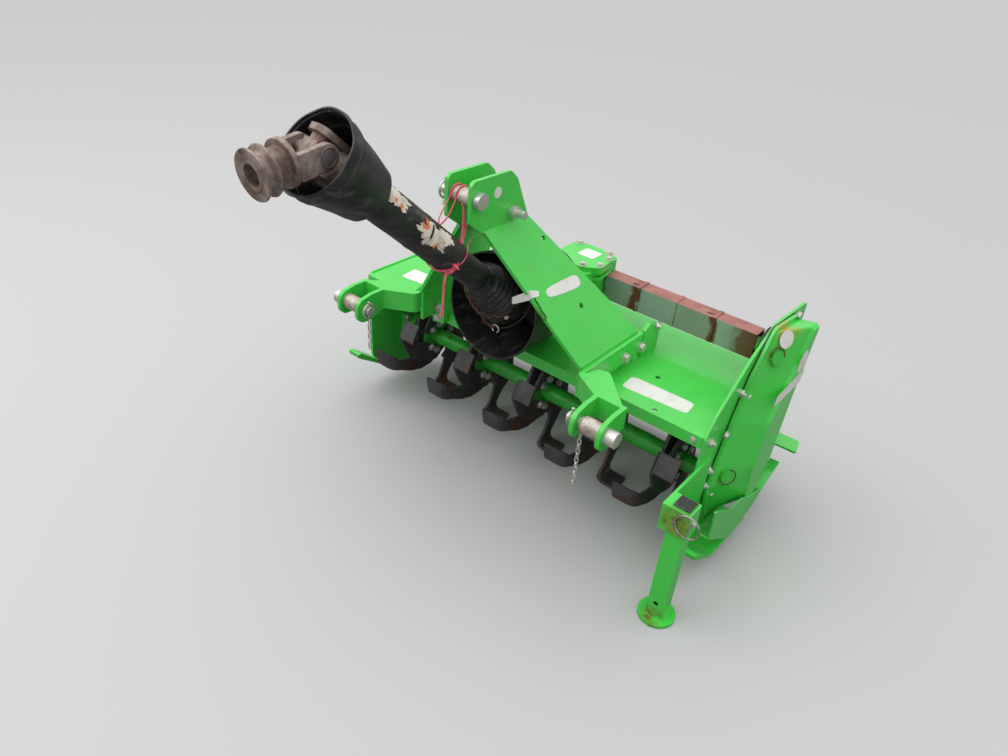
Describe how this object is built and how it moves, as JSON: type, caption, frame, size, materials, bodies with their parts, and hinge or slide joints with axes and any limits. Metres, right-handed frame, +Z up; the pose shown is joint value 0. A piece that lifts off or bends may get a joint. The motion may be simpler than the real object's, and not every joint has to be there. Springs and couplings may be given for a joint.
{
  "type": "rotary tiller",
  "caption": "Compact rear-mounted rotary tiller with three-point hitch, side gear case, curved tines and a telescoping universal-joint driveline.",
  "frame": {"origin": "on the ground under the middle of the whole machine's box, driveline included", "axes": "+X towards the side with the gear case, +Y to the rear, away from the tractor, +Z up"},
  "size_m": [1.1425, 1.1154, 0.9997],
  "materials": {
    "green_paint": "gloss",
    "black_plastic": "satin, worn",
    "rusty_steel": "rusted",
    "bare_steel": "zinc plated",
    "worn_iron": "bare, dull",
    "gasket_black": "dull"
  },
  "bodies": {
    "frame": {"bell_shield": "black_plastic", "case_guard": "green_paint", "case_plugs": "bare_steel", "cross_flange": "black_plastic", "cross_shaft_guard": "rusty_steel", "cross_tube": "green_paint", "deck": "green_paint", "gear_case": "green_paint", "gear_case_gasket": "gasket_black", "gearbox": "green_paint", "gearbox_cover": "green_paint", "hitch_bar_drive": "green_paint", "hitch_bar_plain": "green_paint", "hitch_rail_drive": "green_paint", "hitch_rail_plain": "green_paint", "input_yoke": "worn_iron", "linch_rings": "bare_steel", "lower_bushing_drive": "bare_steel", "lower_bushing_plain": "bare_steel", "lower_pin_drive": "bare_steel", "lower_pin_plain": "bare_steel", "mast_bolt": "bare_steel", "mast_plate_drive": "green_paint", "mast_plate_plain": "green_paint", "rear_tab": "green_paint", "rotor_bearing": "worn_iron", "side_plate_drive": "green_paint", "side_plate_plain": "green_paint", "skid_drive": "green_paint", "skid_plain": "green_paint", "stand_bail": "bare_steel", "stand_bracket": "green_paint", "tailgate_hinge": "green_paint", "tether_chains": "rusty_steel", "upper_bushing": "bare_steel", "upper_pin": "bare_steel"},
    "rotor": {"rotor_tube": "worn_iron", "tines": "worn_iron"},
    "tailgate": {"tailgate": "green_paint"},
    "stand": {"stand_leg": "green_paint", "stand_cap": "black_plastic"},
    "rear_cross": {"rear_cross": "worn_iron"},
    "drive_rear": {"rear_shaft": "worn_iron", "rear_guard_tube": "black_plastic", "rear_cone": "black_plastic"},
    "drive_front": {"front_shaft": "worn_iron", "front_guard_tube": "black_plastic", "front_cone": "black_plastic"},
    "front_cross": {"front_cross": "worn_iron"},
    "yoke": {"front_yoke": "worn_iron", "yoke_collar": "worn_iron"}
  },
  "joints": [
    {"name": "rotor_spin", "type": "hinge", "parent": "frame", "child": "rotor", "pos_m": [-0.019, 0.256, 0.178], "axis": [1, 0, 0], "continuous": true},
    {"name": "tailgate_hinge", "type": "hinge", "parent": "frame", "child": "tailgate", "pos_m": [-0.019, 0.496, 0.338], "axis": [1, 0, 0], "range_deg": [-3, 60]},
    {"name": "stand_slide", "type": "slide", "parent": "frame", "child": "stand", "axis": [0, 0, 1], "range_m": [0, 0.2]},
    {"name": "driveline_pitch", "type": "hinge", "parent": "frame", "child": "rear_cross", "pos_m": [-0.019, 0.056, 0.517], "axis": [-1, 0, 0], "range_deg": [-65, 2]},
    {"name": "driveline_yaw", "type": "hinge", "parent": "rear_cross", "child": "drive_rear", "pos_m": [-0.019, 0.056, 0.517], "axis": [0, 0.6494, 0.7604], "range_deg": [-20, 20]},
    {"name": "drive_slide", "type": "slide", "parent": "drive_rear", "child": "drive_front", "axis": [0, -0.7604, 0.6494], "range_m": [-0.09, 0.1]},
    {"name": "yoke_yaw", "type": "hinge", "parent": "drive_front", "child": "front_cross", "pos_m": [-0.019, -0.44663, 0.94629], "axis": [0, 0.6494, 0.7604], "range_deg": [-30, 30]},
    {"name": "yoke_pitch", "type": "hinge", "parent": "front_cross", "child": "yoke", "pos_m": [-0.019, -0.44663, 0.94629], "axis": [-1, 0, 0], "range_deg": [-1.5, 98]}
  ]
}
